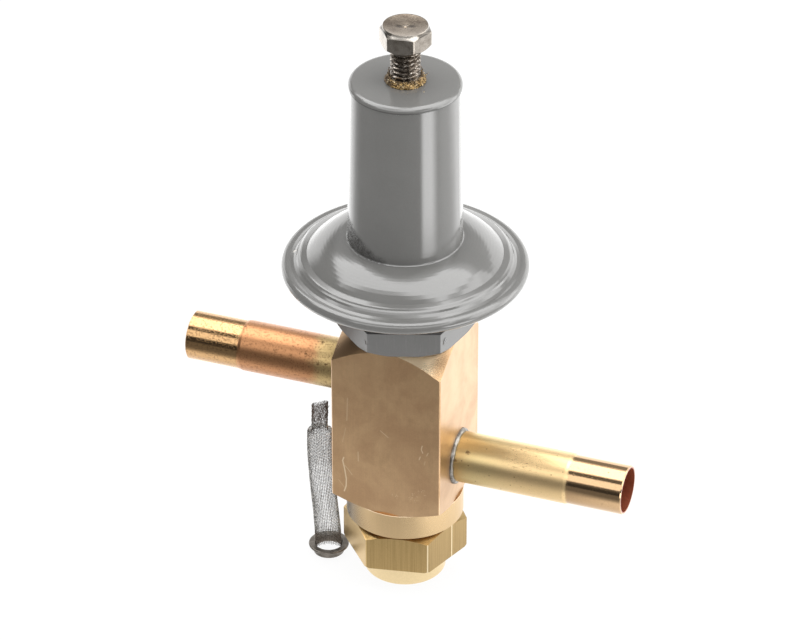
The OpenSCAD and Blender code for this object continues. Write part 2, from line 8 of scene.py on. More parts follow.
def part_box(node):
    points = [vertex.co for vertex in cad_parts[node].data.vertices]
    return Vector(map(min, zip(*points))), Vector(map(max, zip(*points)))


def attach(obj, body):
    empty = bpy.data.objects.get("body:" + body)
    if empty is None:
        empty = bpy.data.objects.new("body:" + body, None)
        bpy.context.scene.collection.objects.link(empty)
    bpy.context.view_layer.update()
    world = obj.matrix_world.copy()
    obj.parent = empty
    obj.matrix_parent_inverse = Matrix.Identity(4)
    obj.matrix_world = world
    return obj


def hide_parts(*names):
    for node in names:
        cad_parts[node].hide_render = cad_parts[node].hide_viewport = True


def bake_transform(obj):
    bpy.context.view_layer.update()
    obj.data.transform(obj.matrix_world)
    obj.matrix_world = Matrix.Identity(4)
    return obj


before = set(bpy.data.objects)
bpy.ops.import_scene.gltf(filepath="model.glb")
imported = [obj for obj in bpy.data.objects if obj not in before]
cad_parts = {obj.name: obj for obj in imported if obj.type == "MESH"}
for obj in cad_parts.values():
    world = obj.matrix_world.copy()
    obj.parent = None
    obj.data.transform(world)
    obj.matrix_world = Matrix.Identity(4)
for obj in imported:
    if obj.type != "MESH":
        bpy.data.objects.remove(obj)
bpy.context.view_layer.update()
mm = 0.001
noise.seed_set(7)  # the sock's fray would differ from run to run without it


def newObject(name, data):
    made = bpy.data.objects.new(name, data)
    bpy.context.scene.collection.objects.link(made)
    return made


# Camera: it stands where the photograph was taken from
photoView = {
    "aim": Vector((0, 0, 90)) * mm,
    "azimuth": 20.0,
    "elevation": 32.9,
    "distance": 1.5,
    "pixelsPerMm": 3.2,  # at the aim point
    "aimPixel": (405.25, 327.6),
    "picture": (800, 640),
    "sensorWidth": 36.0,
}


def placeCamera(cfg):
    turn, tilt = math.radians(cfg["azimuth"]), math.radians(cfg["elevation"])
    back = Vector((math.sin(turn) * math.cos(tilt), -math.cos(turn) * math.cos(tilt), math.sin(tilt)))
    right = Vector((math.cos(turn), math.sin(turn), 0))
    up = back.cross(right)
    scale = cfg["pixelsPerMm"] / mm
    wide, high = cfg["picture"]
    acrossPx, downPx = cfg["aimPixel"]
    shift = right * (wide / 2 - acrossPx) / scale + up * (downPx - high / 2) / scale
    lens = bpy.data.cameras.new("photoCamera")
    lens.sensor_width = cfg["sensorWidth"]
    lens.lens = scale * cfg["distance"] * cfg["sensorWidth"] / wide
    lens.clip_start, lens.clip_end = 0.05, 20
    camera = newObject("photoCamera", lens)
    camera.matrix_world = Matrix((right, up, back)).transposed().to_4x4()
    camera.location = cfg["aim"] + back * cfg["distance"] + shift
    bpy.context.scene.camera = camera


placeCamera(photoView)
print("camera placed")


# Shader maths: a wire carries one socket, and sums on wires become nodes
class Wire:
    def __init__(self, board, socket):
        self.board, self.socket = board, socket

    def __add__(self, other):
        return self.board.maths("ADD", self, other)

    def __radd__(self, other):
        return self.board.maths("ADD", other, self)

    def __sub__(self, other):
        return self.board.maths("SUBTRACT", self, other)

    def __rsub__(self, other):
        return self.board.maths("SUBTRACT", other, self)

    def __mul__(self, other):
        return self.board.maths("MULTIPLY", self, other)

    def __rmul__(self, other):
        return self.board.maths("MULTIPLY", other, self)

    def __truediv__(self, other):
        return self.board.maths("DIVIDE", self, other)

    def __rtruediv__(self, other):
        return self.board.maths("DIVIDE", other, self)

    def __pow__(self, other):
        return self.board.maths("POWER", self, other)

    def __neg__(self):
        return self.board.maths("MULTIPLY", self, -1)

    def __abs__(self):
        return self.board.maths("ABSOLUTE", self)


class Board:
    def __init__(self, tree):
        self.tree = tree
        tree.nodes.clear()

    def add(self, kind, settings=None, sockets=None, out=0):
        node = self.tree.nodes.new(kind)
        for key, value in (settings or {}).items():
            setattr(node, key, value)
        for key, value in (sockets or {}).items():
            if isinstance(value, Wire):
                self.tree.links.new(value.socket, node.inputs[key])
            else:
                node.inputs[key].default_value = value
        return Wire(self, node.outputs[out]) if len(node.outputs) else None

    def maths(self, operation, first, second=None, clamped=False):
        sockets = {0: first} if second is None else {0: first, 1: second}
        return self.add("ShaderNodeMath", {"operation": operation, "use_clamp": clamped}, sockets)

    def larger(self, first, second):
        return self.maths("MAXIMUM", first, second)

    def smaller(self, first, second):
        return self.maths("MINIMUM", first, second)

    def largest(self, masks):
        top = masks[0]
        for mask in masks[1:]:
            top = self.larger(top, mask)
        return top

    # How far out a place is, from its two offsets
    def reach(self, across, along):
        return (across**2 + along**2)**0.5

    # 0 below low, 1 above high, with a soft change between them
    def rise(self, value, low, high):
        return self.add("ShaderNodeMapRange", {"interpolation_type": "SMOOTHSTEP"},
                        {"Value": value, "From Min": low, "From Max": high})

    def fall(self, value, low, high):
        return 1 - self.rise(value, low, high)

    # Place on the object at rest, in millimetres
    def place(self):
        own = self.add("ShaderNodeTexCoord", out=3)
        return self.add("ShaderNodeVectorMath", {"operation": "SCALE"}, {0: own, "Scale": 1 / mm})

    def stretch(self, place, scales):
        return self.add("ShaderNodeVectorMath", {"operation": "MULTIPLY"}, {0: place, 1: scales})

    def shift(self, place, offset):
        return self.add("ShaderNodeVectorMath", {"operation": "ADD"}, {0: place, 1: offset})

    def parts(self, place):
        return [self.add("ShaderNodeSeparateXYZ", None, {0: place}, out) for out in range(3)]

    def joined(self, x, y, z):
        return self.add("ShaderNodeCombineXYZ", None, {0: x, 1: y, 2: z})

    def cloud(self, place, scale, detail=3.0, rough=0.5, bend=0.0):
        return self.add("ShaderNodeTexNoise", None, {"Vector": place, "Scale": scale, "Detail": detail,
                                                     "Roughness": rough, "Distortion": bend})

    # Fine lines of the lathe, which run around the piece
    def turnedLines(self, z, scale):
        return self.cloud(self.joined(0.0, 0.0, z * scale), 1.0, 2.0, 0.6)

    # Distance of a place from its nearest dot, or with out=1 the random colour of that dot
    def dots(self, place, scale, out=0):
        return self.add("ShaderNodeTexVoronoi", {"feature": "F1"},
                        {"Vector": place, "Scale": scale, "Randomness": 1.0}, out)

    def dotPick(self, place, scale):
        return self.parts(self.dots(place, scale, 1))[0]

    # Ragged spot around a point: 1 within inner, 0 beyond outer
    def spot(self, place, centre, inner, outer, scale, ragged):
        gap = self.add("ShaderNodeVectorMath", {"operation": "DISTANCE"}, {0: place, 1: centre}, out=1)
        return self.fall(gap + (self.cloud(place, scale, 2.0, 0.6) - 0.5) * ragged, inner, outer)

    def tint(self, share, first, second, how="MIX"):
        tones = [tone if isinstance(tone, Wire) else (*tone, 1) for tone in (first, second)]
        return self.add("ShaderNodeMix", {"data_type": "RGBA", "blend_type": how, "clamp_factor": True},
                        {0: share, 6: tones[0], 7: tones[1]}, out=2)

    def shade(self, tone, amount):
        grey = self.joined(amount, amount, amount)
        return self.tint(1.0, tone, grey, "MULTIPLY")

    # Slope of the surface from a height that is given in millimetres
    def bump(self, height, strength=1.0):
        return self.add("ShaderNodeBump", None, {"Height": height, "Distance": mm, "Strength": strength})

    def finish(self, **sockets):
        named = {key.replace("_", " "): value for key, value in sockets.items()}
        surface = self.add("ShaderNodeBsdfPrincipled", None, named)
        self.add("ShaderNodeOutputMaterial", None, {"Surface": surface})


def newFinish(name, recipe, *values):
    material = bpy.data.materials.new(name)
    material.use_nodes = True
    recipe(Board(material.node_tree), *values)
    return material


def dress(nodeNames, material):
    for nodeName in nodeNames:
        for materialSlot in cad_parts[nodeName].material_slots:
            materialSlot.material = material


# Mask of a scratch on a flat face, drawn as short straight strokes
def strokeMask(board, across, along, points, width):
    nearest = None
    for (startA, startB), (endA, endB) in zip(points, points[1:]):
        stepA, stepB = endA - startA, endB - startB
        square = stepA**2 + stepB**2
        awayA, awayB = across - startA, along - startB
        share = board.maths("MULTIPLY", awayA * (stepA / square) + awayB * (stepB / square), 1.0, True)
        gap = board.reach(awayA - share * stepA, awayB - share * stepB)
        nearest = gap if nearest is None else board.smaller(nearest, gap)
    return board.fall(nearest, width * 0.3, width)


# Brass bar of the body: drawn flats with dull stains, turned cones and collar, and a few scratches; painted
# light on the front of the top cone and on the collar's ledge, and painted shade at the sides of the top cone
# and on the collar's left
bodyBrass = {
    "bright": (0.585, 0.385, 0.215), "dull": (0.475, 0.300, 0.165), "stainAndPaintedShade": (0.36, 0.24, 0.12),
    "collar": (0.60, 0.435, 0.24), "cone": (1.0, 0.80, 0.54), "ledge": (0.80, 0.62, 0.40),
    "scored": (0.86, 0.70, 0.48),
    "halfWidth": 18.1, "collarTop": 30.7, "lowConeTo": 40.0, "topConeFrom": 70.0,
    # On the front face: points across and up, width, strength
    "scratches": [
        ([(-14.0, 49.2), (-14.4, 48.0), (-13.7, 44.6), (-13.2, 41.0), (-13.3, 38.4), (-13.9, 36.4)],
         0.32, 0.85),
        ([(-13.6, 46.2), (-12.4, 44.8), (-11.2, 43.2)], 0.20, 0.45),
        ([(-15.9, 40.4), (-13.9, 37.8)], 0.16, 0.35),
        ([(-12.6, 72.0), (-12.9, 63.5)], 0.26, 0.35),
        ([(-13.3, 60.5), (-14.4, 55.0)], 0.22, 0.25),
        ([(-9.2, 52.4), (-9.1, 49.0)], 0.30, 0.40),
        ([(-1.7, 62.2), (-0.4, 61.2), (0.9, 60.2)], 0.20, 0.55),
        ([(12.2, 59.6), (11.9, 58.2), (12.4, 57.0)], 0.26, 0.75),
        ([(11.6, 55.4), (11.2, 54.2)], 0.24, 0.70),
        ([(14.2, 57.4), (13.7, 56.2)], 0.22, 0.55),
        ([(13.2, 54.0), (12.9, 52.6)], 0.20, 0.35),
    ],
    # Small pecked patches there: across, up, size
    "pecks": [(3.0, 38.5, 1.6), (9.2, 39.4, 2.6), (12.2, 41.6, 2.0)],
}


def brushedBrass(board, cfg):
    place = board.place()
    x, y, z = board.parts(place)
    half, rim = cfg["halfWidth"], cfg["collarTop"]
    onFlat = board.rise(board.larger(abs(x), abs(y)), half - 0.2, half - 0.05)
    onFace = board.fall(y, 0.1 - half, 0.4 - half)
    inCollar = board.fall(z, rim - 0.2, rim + 0.2)
    topCone = (1 - onFlat) * board.rise(z, cfg["topConeFrom"], cfg["topConeFrom"] + 2)
    lowCone = (1 - onFlat) * board.fall(z, cfg["lowConeTo"], cfg["lowConeTo"] + 2)
    ledge = board.rise(z, rim - 0.14, rim - 0.04) * board.larger(board.fall(z, rim + 0.1, rim + 0.2), lowCone)
    drawn = board.cloud(board.stretch(place, (6.0, 6.0, 0.06)), 1.0, 2.0, 0.6)
    grain = drawn * onFlat + board.turnedLines(z, 6.0) * (1 - onFlat)
    fine = board.cloud(place, 2.4, 4.0, 0.75)
    dullness = board.rise(board.cloud(place, 0.055, 4.0, 0.6, 0.4), 0.34, 0.66)
    stainsAndPaintedShade = board.rise(board.cloud(board.stretch(place, (1.0, 1.0, 0.5)), 0.15, 5.0, 0.65, 0.8), 0.54, 0.76)
    tone = board.tint(dullness, cfg["bright"], cfg["dull"])
    tone = board.tint(stainsAndPaintedShade * 0.28, tone, cfg["stainAndPaintedShade"])
    tone = board.tint(inCollar * 0.9, tone, cfg["collar"])
    # Painted light: the front of the top cone is painted paler, as it looks when lit
    tone = board.tint(topCone * board.rise(x, -7.0, 4.0) * board.fall(x, 12.0, 17.0), tone, cfg["cone"])
    # Painted light: the collar's top ledge, which lies in shade, is painted pale and less metallic
    tone = board.tint(ledge, tone, cfg["ledge"])
    # Painted shade on the left of the top cone and of the collar, and on the right of the top cone
    leftShade = topCone * board.fall(x, -12.0, -5.0) * 0.40 + inCollar * board.fall(x, -14.0, -3.0) * 0.68
    rightShade = topCone * board.rise(x, 13.0, 17.0) * 0.3
    mottle = (grain - 0.5) * 0.16 + (fine - 0.5) * (0.12 + onFlat * 0.22)
    tone = board.shade(tone, 0.98 - leftShade - rightShade + mottle)
    scored = board.largest([strokeMask(board, x, z, points, width) * strength
                            for points, width, strength in cfg["scratches"]])
    specks = board.fall(board.dots(place, 1.5), 0.22, 0.36)
    for across, up, size in cfg["pecks"]:
        near = board.fall(board.reach(x - across, z - up), size * 0.4, size)
        scored = board.larger(scored, specks * near * 0.5)
    scored = scored * onFace
    tone = board.tint(scored * 0.8, tone, cfg["scored"])
    rough = 0.26 + onFlat * 0.09 + dullness * 0.05
    rough = rough + (fine - 0.5) * (0.06 + onFlat * 0.12) + (grain - 0.5) * 0.10
    height = (grain - 0.5) * 0.014 + (fine - 0.5) * (0.003 + onFlat * 0.009) - scored * 0.03
    board.finish(Base_Color=tone, Metallic=1.0 - ledge * 0.7, Roughness=rough, Normal=board.bump(height, 0.6))


# Hex cap: greener brass with upright cutter lines on its flats and a turned, brighter boss; painted light on
# its left face and painted highlights along two of its edges
capBrass = {
    "flat": (0.385, 0.265, 0.115), "deep": (0.315, 0.215, 0.09), "boss": (0.70, 0.55, 0.32), "hexFrom": 8.7,
    "paintedLeftLight": (0.65, 0.46, 0.21), "leftNormal": (-0.755, -0.656), "leftFrom": 16.9,
    "paintedGlint": (0.90, 0.75, 0.50), "paintedHighlightLines": [(13.10, -15.08), (17.11, -3.45)],
}


def capFinish(board, cfg):
    place = board.place()
    x, y, z = board.parts(place)
    lines = board.cloud(board.stretch(place, (2.2, 2.2, 0.03)), 1.0, 3.0, 0.65)
    fine = board.cloud(place, 1.8, 4.0, 0.7)
    onBoss = board.fall(z, cfg["hexFrom"] - 0.3, cfg["hexFrom"] + 0.1)
    tone = board.tint(board.rise(lines, 0.42, 0.70), cfg["flat"], cfg["deep"])
    tone = board.tint(onBoss, tone, cfg["boss"])
    # Painted light: the hex face on the left is painted paler, as it looks when lit
    normalX, normalY = cfg["leftNormal"]
    onPaintedLeftLight = board.rise(x * normalX + y * normalY, cfg["leftFrom"], cfg["leftFrom"] + 0.3)
    tone = board.tint(onPaintedLeftLight * 0.9, tone, cfg["paintedLeftLight"])
    # Painted highlights: two thin bright lines down edges of the hex
    for lineX, lineY in cfg["paintedHighlightLines"]:
        onPaintedHighlight = board.fall(board.reach(x - lineX, y - lineY), 0.10, 0.30)
        tone = board.tint(onPaintedHighlight * (1 - onBoss) * 0.85, tone, cfg["paintedGlint"])
    tone = board.shade(tone, 1.04 + (fine - 0.5) * 0.3)
    grain = lines * (1 - onBoss) + board.turnedLines(z, 5.0) * onBoss
    rough = 0.33 + (fine - 0.5) * 0.2 + (grain - 0.5) * 0.15
    height = (grain - 0.5) * 0.018 + (fine - 0.5) * 0.012
    board.finish(Base_Color=tone, Metallic=1.0, Roughness=rough, Normal=board.bump(height, 0.6))


# Stubs: heat has coloured the copper by the body, the sized end is bright, and the undersides get painted
# light from the floor
stubCopper = {
    "pink": (0.385, 0.19, 0.09), "pit": (0.11, 0.06, 0.03),
    "inside": (0.22, 0.052, 0.024), "insideLight": (0.33, 0.095, 0.045), "boreRadius": 7.45,
}
stubs = {
    "inlet": {
        "axisHeight": 45.8, "side": 1,
        "heated": (0.66, 0.48, 0.25), "heatedTo": (58.0, 66.0), "byBody": (0.50, 0.41, 0.20),
        "sized": (0.42, 0.28, 0.155), "sizedFrom": 55.1,
        "marks": [((23.0, -5.6, 51.7), 0.9), ((19.5, -7.6, 49.0), 0.7)],
    },
    "outlet": {
        "axisHeight": 71.6, "side": -1,
        "heated": (0.44, 0.32, 0.15), "heatedTo": (25.0, 31.0),
        "sized": (0.39, 0.24, 0.115), "sizedFrom": 53.0,
        "marks": [((-26.6, -7.3, 75.0), 0.75), ((-24.0, -7.3, 75.2), 0.6), ((-27.1, -1.6, 79.5), 0.9),
                  ((-31.1, -6.1, 76.9), 0.55)],
    },
}


def stubFinish(board, cfg, name):
    stub = stubs[name]
    place = board.place()
    x, y, z = board.parts(place)
    reach, up = x * stub["side"], z - stub["axisHeight"]
    wander = board.cloud(place, 0.12, 4.0, 0.6, 0.6)
    fine = board.cloud(place, 2.2, 4.0, 0.75)
    heated = board.fall(reach + (wander - 0.5) * 12, *stub["heatedTo"])
    polished = board.rise(reach + (wander - 0.5) * 1.2, stub["sizedFrom"] + 0.4, stub["sizedFrom"] + 1.6)
    tone = board.tint(heated, cfg["pink"], stub["heated"])
    tone = board.tint(polished, tone, stub["sized"])
    dotPlace = board.shift(place, (3.1, 0.4, 1.7))
    specks = board.fall(board.dots(dotPlace, 0.85), 0.12, 0.30)
    fewSpecks = board.rise(board.dotPick(dotPlace, 0.85), 0.90, 0.95) * specks
    pitted = board.rise(board.cloud(place, 1.5, 3.0, 0.65, 0.6), 0.60, 0.68) * board.rise(wander, 0.46, 0.60)
    if name == "inlet":
        tone = board.tint(board.fall(reach, 22.0, 42.0) * 0.7, tone, stub["byBody"])
        onTop = board.rise(z - y * 0.4, 52.4, 54.0) * board.fall(y, -2.0, -0.5)
        zone = board.rise(reach, 33.0, 37.0) * board.fall(reach, 46.0, 50.0) * onTop
        folds = board.rise(board.cloud(board.stretch(place, (0.7, 1.6, 1.6)), 1.3, 3.0, 0.7, 1.2), 0.56, 0.62)
        worn = folds * zone * 0.55
    else:
        worn = board.rise(board.cloud(place, 1.5, 3.0, 0.75, 0.3), 0.52, 0.62) * 0.45
    blemish = board.largest([fewSpecks * 0.6, pitted * 0.25, worn] + [
        board.spot(place, centre, size * 0.3, size, 1.7, size * 1.8) * 0.8 for centre, size in stub["marks"]])
    tone = board.tint(blemish, tone, cfg["pit"])
    # Painted light: the underside of each stub is painted paler, as the lit floor below would make it
    paintedFloorLight = board.fall(up, -7.4, -3.6)
    tone = board.shade(tone, 0.98 + (fine - 0.5) * 0.34 + paintedFloorLight * 0.35)
    inBore = board.fall(board.reach(y, up), cfg["boreRadius"] - 0.1, cfg["boreRadius"] + 0.02)
    lining = board.tint(board.cloud(place, 0.5, 4.0, 0.7), cfg["inside"], cfg["insideLight"])
    tone = board.tint(inBore, tone, lining)
    rough = 0.36 + heated * 0.02 - polished * 0.28 + (fine - 0.5) * 0.16 + blemish * 0.25 + inBore * 0.25
    height = (fine - 0.5) * 0.018 - blemish * 0.05
    board.finish(Base_Color=tone, Metallic=1 - inBore * 0.55, Roughness=rough, Normal=board.bump(height, 0.5))


# Enamel on the spring housing: even grey gloss with chips, dirt specks and painted shade in the corner of
# barrel and dome
enamelGrey = {
    "paint": (0.118, 0.1165, 0.112), "dirt": (0.022, 0.019, 0.016), "bare": (0.45, 0.43, 0.40),
    "lipLow": 177.4, "barrel": 17.4, "cornerLow": 122.6, "shadeAndDirtSide": (0.94, 0.342),
    "flakes": [((-33.2, -8.0, 115.6), 0.9), ((-32.2, -10.0, 116.0), 0.5), ((-31.8, -6.9, 116.2), 0.45),
               ((-21.1, -29.3, 114.6), 0.6), ((7.7, -4.9, 179.3), 0.35)],
}


def enamelFinish(board, cfg):
    place = board.place()
    x, y, z = board.parts(place)
    lipLow, barrel, cornerLow = cfg["lipLow"], cfg["barrel"], cfg["cornerLow"]
    mottle = board.cloud(place, 0.09, 4.0, 0.6)
    fine = board.cloud(place, 2.5, 3.0, 0.7)
    peel = board.cloud(place, 0.40, 2.0, 0.5)
    # Painted shade, with specks of dirt in it, lies in the corner on the left of the barrel's front and
    # creeps up it
    sideX, sideY = cfg["shadeAndDirtSide"]
    sideways = (x * sideX + y * sideY) / barrel
    creep = z - sideways**2 * 9.8 + (peel - 0.5) * 3
    corner = board.fall(creep, cornerLow - 1.2, cornerLow + 2.4) * board.rise(z, cornerLow, cornerLow + 0.8)
    corner = corner * board.fall(sideways + (peel - 0.5) * 0.3, -0.52, -0.10) * board.fall(y, -8.0, -4.0)
    corner = corner * board.fall(board.reach(x, y), barrel + 0.7, barrel + 1.0)
    grime = board.rise(board.cloud(place, 1.3, 5.0, 0.85), 0.44, 0.56) * corner
    seam = board.rise(z, lipLow - 0.5, lipLow - 0.2) * board.fall(z, lipLow, lipLow + 0.3)
    # The corner band is darkened here as painted shade
    plain = 1.0 + (mottle - 0.5) * 0.14 + (fine - 0.5) * 0.16 - seam * 0.45 - corner * 0.34
    tone = board.shade(board.joined(*cfg["paint"]), plain)
    tone = board.tint(grime * 0.85, tone, cfg["dirt"])
    chipped = board.largest([board.spot(place, centre, size * 0.75, size, 1.9, size * 1.6)
                             for centre, size in cfg["flakes"]])
    tone = board.tint(chipped, tone, cfg["bare"])
    rough = 0.13 + (mottle - 0.5) * 0.06 + grime * 0.35 + chipped * 0.2
    aboveLip = board.larger(z - lipLow, 0.0)
    height = (peel - 0.5) * 0.005 + (fine - 0.5) * 0.001 - chipped * 0.08 + grime * 0.03 - aboveLip * 0.30
    board.finish(Base_Color=tone, Roughness=rough, Metallic=chipped * 0.8, Normal=board.bump(height, 1.0),
                 Specular_IOR_Level=0.75)


# Lower housing: thinner paint, with the milled flats' lines showing through and two dried runs
housingGrey = {
    "paint": (0.122, 0.1205, 0.117), "worn": (0.24, 0.24, 0.24), "shadow": (0.10, 0.105, 0.11),
    "runs": [((-4.6, -20.4, 96.6), 1.1), ((17.2, -12.4, 96.6), 1.0)],
}


def housingFinish(board, cfg):
    place = board.place()
    lines = board.cloud(board.stretch(place, (4.0, 4.0, 0.12)), 1.0, 3.0, 0.6)
    patches = board.cloud(place, 0.16, 4.0, 0.6)
    fine = board.cloud(place, 1.7, 4.0, 0.7)
    tone = board.tint(board.rise(lines, 0.55, 0.85) * 0.35, cfg["paint"], cfg["worn"])
    tone = board.tint(board.rise(board.cloud(place, 0.7, 4.0, 0.7), 0.62, 0.75) * 0.4, tone, cfg["shadow"])
    tone = board.shade(tone, 1.0 + (patches - 0.5) * 0.16 + (fine - 0.5) * 0.14)
    lump = board.largest([board.spot(place, centre, size * 0.3, size * 1.3, 0.8, 2.4)
                          for centre, size in cfg["runs"]])
    tone = board.shade(tone, 1.0 - lump * (1 - lump) * 2.2)
    rough = 0.22 + (fine - 0.5) * 0.12 + (lines - 0.5) * 0.08
    height = (lines - 0.5) * 0.010 + (fine - 0.5) * 0.004 + lump * 1.3
    board.finish(Base_Color=tone, Roughness=rough, Specular_IOR_Level=0.7, Normal=board.bump(height, 0.7))


# Plain metal of a small piece: tone, unevenness, and how rough it is
def metalFinish(board, tone, dark, rough, grainScale=0.9):
    place = board.place()
    patches = board.cloud(place, grainScale * 0.3, 4.0, 0.6)
    fine = board.cloud(place, grainScale * 2.4, 4.0, 0.7)
    colour = board.tint(board.rise(patches, 0.35, 0.70), tone, dark)
    colour = board.shade(colour, 1.0 + (fine - 0.5) * 0.3)
    board.finish(Base_Color=colour, Metallic=1.0, Roughness=rough + (fine - 0.5) * 0.2,
                 Normal=board.bump((fine - 0.5) * 0.02, 0.5))


# Gaskets and the soft disc
def fibreFinish(board, tone, dark):
    place = board.place()
    felt = board.cloud(board.stretch(place, (1.0, 1.0, 3.0)), 1.4, 5.0, 0.8)
    board.finish(Base_Color=board.tint(felt, dark, tone), Roughness=0.85, Normal=board.bump(felt * 0.05, 0.6))


# Screw steel: the head's flats are milled and its dish is turned, with two dark spots of painted shade by its
# centre, a painted highlight on the front of the top's rim and painted shade on the rest of it, and painted
# glints on the thread
screwSteel = {
    "tone": (0.31, 0.28, 0.245), "dark": (0.19, 0.165, 0.14), "edge": (0.50, 0.465, 0.42),
    "thread": (0.12, 0.10, 0.082), "paintedGlint": (0.50, 0.46, 0.41),
    "dish": (0.215, 0.178, 0.140), "dishDark": (0.14, 0.11, 0.085), "dishRadius": 6.9,
    "stainAndPaintedShade": (0.045, 0.036, 0.03), "stainsAndPaintedShade": [(-1.85, -0.67), (1.85, 0.67)], "threadBelow": 8.2,
}


def headFinish(board, cfg):
    place = board.place()
    x, y, z = board.parts(place)
    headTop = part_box("adjusting_screw")[1].z / mm
    away, dishRadius = board.reach(x, y), cfg["dishRadius"]
    onDish = board.rise(z, headTop - 1.2, headTop - 1.0) * board.fall(away, dishRadius - 0.3, dishRadius)
    rings = board.cloud(board.joined(away, 0.0, 0.0), 5.0, 3.0, 0.7)
    fine = board.cloud(place, 2.0, 4.0, 0.7)
    patches = board.rise(board.cloud(place, 0.35, 4.0, 0.6), 0.40, 0.75)
    tone = board.tint(patches, cfg["tone"], cfg["dark"])
    tone = board.tint(onDish, tone, board.tint(patches, cfg["dish"], cfg["dishDark"]))
    # Two dark spots of painted shade by the dish's centre, standing for the dark parts of the turned dish's
    # reflection
    for shadeSpotX, shadeSpotY in cfg["stainsAndPaintedShade"]:
        gap = board.reach(x - shadeSpotX, (y - shadeSpotY) * 1.3)
        tone = board.tint(board.fall(gap, 0.3, 1.6) * onDish * 0.75, tone, cfg["stainAndPaintedShade"])
    tone = board.shade(tone, 1.0 + (fine - 0.5) * 0.4 + (rings - 0.5) * onDish * 0.3)
    # Painted highlight on the front of the top's rim, and painted shade on the rest of that rim
    edge = board.rise(z, headTop - 1.6, headTop - 1.4) * board.rise(away, dishRadius, dishRadius + 0.2)
    paintedFrontHighlight = edge * board.fall(y, -5.0, -4.0) * board.rise(x, -2.8, -1.4) * board.fall(x, 6.2, 7.2)
    tone = board.tint(paintedFrontHighlight * 0.9, tone, cfg["edge"])
    tone = board.shade(tone, 1.0 - edge * (1 - paintedFrontHighlight) * 0.62)
    threadTop = headTop - cfg["threadBelow"]
    # Painted glints: random bright spots on the dark thread
    paintedSparkle = board.rise(board.cloud(board.stretch(place, (1.0, 1.0, 1.6)), 1.1, 3.0, 0.7), 0.55, 0.62)
    threadTone = board.tint(paintedSparkle, cfg["thread"], cfg["paintedGlint"])
    tone = board.tint(board.fall(z, threadTop - 0.7, threadTop), tone, threadTone)
    height = (rings - 0.5) * onDish * 0.03 + (fine - 0.5) * 0.014
    board.finish(Base_Color=tone, Metallic=1.0 - paintedFrontHighlight * 0.6, Roughness=0.30 + (fine - 0.5) * 0.25,
                 Normal=board.bump(height, 0.6))


# Crumbly end of the bush: sandy brass with dark pores, darker at its left and its top
grittyBrass = {
    "sand": (0.50, 0.33, 0.13), "pale": (0.72, 0.58, 0.36), "pore": (0.06, 0.038, 0.02),
    "darkTone": (0.10, 0.075, 0.055), "darkFrom": 181.6,
}


def grittyFinish(board, cfg):
    place = board.place()
    x, y, z = board.parts(place)
    grains = board.cloud(place, 2.6, 3.0, 0.7)
    patches = board.cloud(place, 0.8, 3.0, 0.6)
    tone = board.tint(board.rise(grains, 0.42, 0.64), cfg["pore"], cfg["sand"])
    tone = board.tint(board.rise(patches, 0.54, 0.66), tone, cfg["pale"])
    darkTop = board.rise(z + patches * 2, cfg["darkFrom"], cfg["darkFrom"] + 1.2)
    darkLeftAndTop = board.larger(board.fall(x + patches * 4, -2.5, 0.5), darkTop)
    tone = board.tint(darkLeftAndTop * 0.75, tone, cfg["darkTone"])
    grit = grains - 0.5
    bumps = board.bump(grit * 0.12, 0.9)
    board.finish(Base_Color=tone, Metallic=0.75, Roughness=0.42 + grit * 0.3, Normal=bumps)


# Wire of the sock: bright steel, brown by the mouth and nearly black in the crimp
sockWire = {
    "bright": (0.55, 0.54, 0.52), "dull": (0.13, 0.125, 0.115), "brown": (0.10, 0.075, 0.055),
    "burnt": (0.10, 0.068, 0.050), "brownTo": 7.5, "burntFrom": 48.0,
}


def sockFinish(board, cfg):
    place = board.place()
    x, y, z = board.parts(place)
    fine = board.cloud(place, 1.1, 3.0, 0.7)
    height = z + (fine - 0.5) * 4
    tone = board.tint(board.rise(fine, 0.40, 0.56), cfg["bright"], cfg["dull"])
    tone = board.tint(board.fall(height, cfg["brownTo"], cfg["brownTo"] + 2.5) * 0.9, tone, cfg["brown"])
    burnt = board.rise(height, cfg["burntFrom"], cfg["burntFrom"] + 5.0)
    tone = board.tint(burnt * 0.92, tone, cfg["burnt"])
    board.finish(Base_Color=tone, Metallic=0.9 - burnt * 0.85, Roughness=0.24 + burnt * 0.6)


